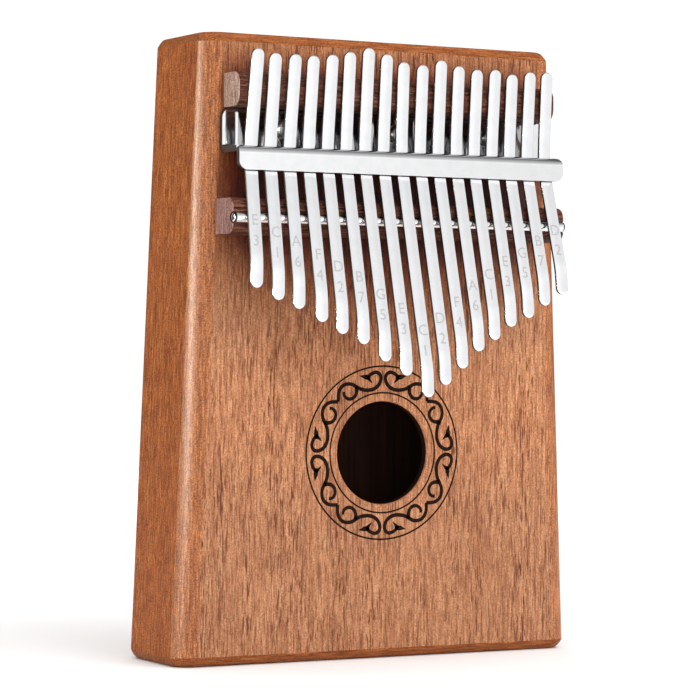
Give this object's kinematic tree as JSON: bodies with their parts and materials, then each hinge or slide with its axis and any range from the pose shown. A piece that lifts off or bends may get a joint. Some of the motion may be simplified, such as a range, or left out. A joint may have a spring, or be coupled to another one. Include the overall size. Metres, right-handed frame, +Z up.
{
  "type": "box mbira",
  "caption": "Wooden box mbira with a row of plucked steel tines held by a chromed bracket over a steel rod, and a round sound hole ringed by scrollwork.",
  "frame": {"origin": "middle of the flat lower end, the end furthest from the bridges, which it stands on in the picture", "axes": "+Z up the body towards the clamped ends of the tines; -Y out of the soundboard; +X to the right of somebody facing the soundboard"},
  "size_m": [0.1348, 0.0625, 0.185],
  "materials": {
    "soundboard_wood": "satin, open pores",
    "side_wood": "satin, open pores",
    "end_wood": "satin end grain",
    "back_wood": "satin, open pores",
    "bridge_wood": "sawn, unfinished",
    "inner_wood": "sawn, unfinished",
    "bracket_chrome": "polished",
    "screw_steel": "nickel plated",
    "tine_steel": "satin polished"
  },
  "bodies": {
    "box": {"soundboard": "soundboard_wood", "back_board": "back_wood", "side_left": "side_wood", "side_right": "side_wood", "end_bottom": "end_wood", "end_top": "end_wood", "pin_block": "inner_wood", "front_brace": "inner_wood", "rear_bridge": "bridge_wood", "front_bridge": "bridge_wood", "bridge_rod": "bracket_chrome", "z_bracket": "bracket_chrome", "bracket_screw_1": "screw_steel", "bracket_screw_2": "screw_steel", "bracket_screw_3": "screw_steel", "tine_root_01": "tine_steel", "tine_root_02": "tine_steel", "tine_root_03": "tine_steel", "tine_root_04": "tine_steel", "tine_root_05": "tine_steel", "tine_root_06": "tine_steel", "tine_root_07": "tine_steel", "tine_root_08": "tine_steel", "tine_root_09": "tine_steel", "tine_root_10": "tine_steel", "tine_root_11": "tine_steel", "tine_root_12": "tine_steel", "tine_root_13": "tine_steel", "tine_root_14": "tine_steel", "tine_root_15": "tine_steel", "tine_root_16": "tine_steel", "tine_root_17": "tine_steel"},
    "tongue_01": {"tine_tongue_01": "tine_steel"},
    "tongue_02": {"tine_tongue_02": "tine_steel"},
    "tongue_03": {"tine_tongue_03": "tine_steel"},
    "tongue_04": {"tine_tongue_04": "tine_steel"},
    "tongue_05": {"tine_tongue_05": "tine_steel"},
    "tongue_06": {"tine_tongue_06": "tine_steel"},
    "tongue_07": {"tine_tongue_07": "tine_steel"},
    "tongue_08": {"tine_tongue_08": "tine_steel"},
    "tongue_09": {"tine_tongue_09": "tine_steel"},
    "tongue_10": {"tine_tongue_10": "tine_steel"},
    "tongue_11": {"tine_tongue_11": "tine_steel"},
    "tongue_12": {"tine_tongue_12": "tine_steel"},
    "tongue_13": {"tine_tongue_13": "tine_steel"},
    "tongue_14": {"tine_tongue_14": "tine_steel"},
    "tongue_15": {"tine_tongue_15": "tine_steel"},
    "tongue_16": {"tine_tongue_16": "tine_steel"},
    "tongue_17": {"tine_tongue_17": "tine_steel"}
  },
  "joints": [
    {"name": "tine_01_flex", "type": "hinge", "parent": "box", "child": "tongue_01", "pos_m": [-0.05092, -0.03182, 0.1304], "axis": [1, 0, 0], "range_deg": [-4, 5], "stiffness_Nm_per_rad": 0.0117},
    {"name": "tine_02_flex", "type": "hinge", "parent": "box", "child": "tongue_02", "pos_m": [-0.0444, -0.03182, 0.1304], "axis": [1, 0, 0], "range_deg": [-4, 5], "stiffness_Nm_per_rad": 0.0187},
    {"name": "tine_03_flex", "type": "hinge", "parent": "box", "child": "tongue_03", "pos_m": [-0.03805, -0.03182, 0.1304], "axis": [1, 0, 0], "range_deg": [-4, 5], "stiffness_Nm_per_rad": 0.0252},
    {"name": "tine_04_flex", "type": "hinge", "parent": "box", "child": "tongue_04", "pos_m": [-0.03142, -0.03182, 0.1304], "axis": [1, 0, 0], "range_deg": [-4, 5], "stiffness_Nm_per_rad": 0.0375},
    {"name": "tine_05_flex", "type": "hinge", "parent": "box", "child": "tongue_05", "pos_m": [-0.02512, -0.03182, 0.1304], "axis": [1, 0, 0], "range_deg": [-4, 5], "stiffness_Nm_per_rad": 0.0517},
    {"name": "tine_06_flex", "type": "hinge", "parent": "box", "child": "tongue_06", "pos_m": [-0.01868, -0.03182, 0.1304], "axis": [1, 0, 0], "range_deg": [-4, 5], "stiffness_Nm_per_rad": 0.0665},
    {"name": "tine_07_flex", "type": "hinge", "parent": "box", "child": "tongue_07", "pos_m": [-0.01228, -0.03182, 0.1304], "axis": [1, 0, 0], "range_deg": [-4, 5], "stiffness_Nm_per_rad": 0.098},
    {"name": "tine_08_flex", "type": "hinge", "parent": "box", "child": "tongue_08", "pos_m": [-0.00593, -0.03182, 0.1304], "axis": [1, 0, 0], "range_deg": [-4, 5], "stiffness_Nm_per_rad": 0.13},
    {"name": "tine_09_flex", "type": "hinge", "parent": "box", "child": "tongue_09", "pos_m": [0.0004, -0.03182, 0.1304], "axis": [1, 0, 0], "range_deg": [-4, 5], "stiffness_Nm_per_rad": 0.192},
    {"name": "tine_10_flex", "type": "hinge", "parent": "box", "child": "tongue_10", "pos_m": [0.00673, -0.03182, 0.1304], "axis": [1, 0, 0], "range_deg": [-4, 5], "stiffness_Nm_per_rad": 0.155},
    {"name": "tine_11_flex", "type": "hinge", "parent": "box", "child": "tongue_11", "pos_m": [0.01308, -0.03182, 0.1304], "axis": [1, 0, 0], "range_deg": [-4, 5], "stiffness_Nm_per_rad": 0.113},
    {"name": "tine_12_flex", "type": "hinge", "parent": "box", "child": "tongue_12", "pos_m": [0.01941, -0.03182, 0.1304], "axis": [1, 0, 0], "range_deg": [-4, 5], "stiffness_Nm_per_rad": 0.0775},
    {"name": "tine_13_flex", "type": "hinge", "parent": "box", "child": "tongue_13", "pos_m": [0.02564, -0.03182, 0.1304], "axis": [1, 0, 0], "range_deg": [-4, 5], "stiffness_Nm_per_rad": 0.0585},
    {"name": "tine_14_flex", "type": "hinge", "parent": "box", "child": "tongue_14", "pos_m": [0.03196, -0.03182, 0.1304], "axis": [1, 0, 0], "range_deg": [-4, 5], "stiffness_Nm_per_rad": 0.0405},
    {"name": "tine_15_flex", "type": "hinge", "parent": "box", "child": "tongue_15", "pos_m": [0.0384, -0.03182, 0.1304], "axis": [1, 0, 0], "range_deg": [-4, 5], "stiffness_Nm_per_rad": 0.0308},
    {"name": "tine_16_flex", "type": "hinge", "parent": "box", "child": "tongue_16", "pos_m": [0.04477, -0.03182, 0.1304], "axis": [1, 0, 0], "range_deg": [-4, 5], "stiffness_Nm_per_rad": 0.0199},
    {"name": "tine_17_flex", "type": "hinge", "parent": "box", "child": "tongue_17", "pos_m": [0.05138, -0.03182, 0.1304], "axis": [1, 0, 0], "range_deg": [-4, 5], "stiffness_Nm_per_rad": 0.0126}
  ]
}
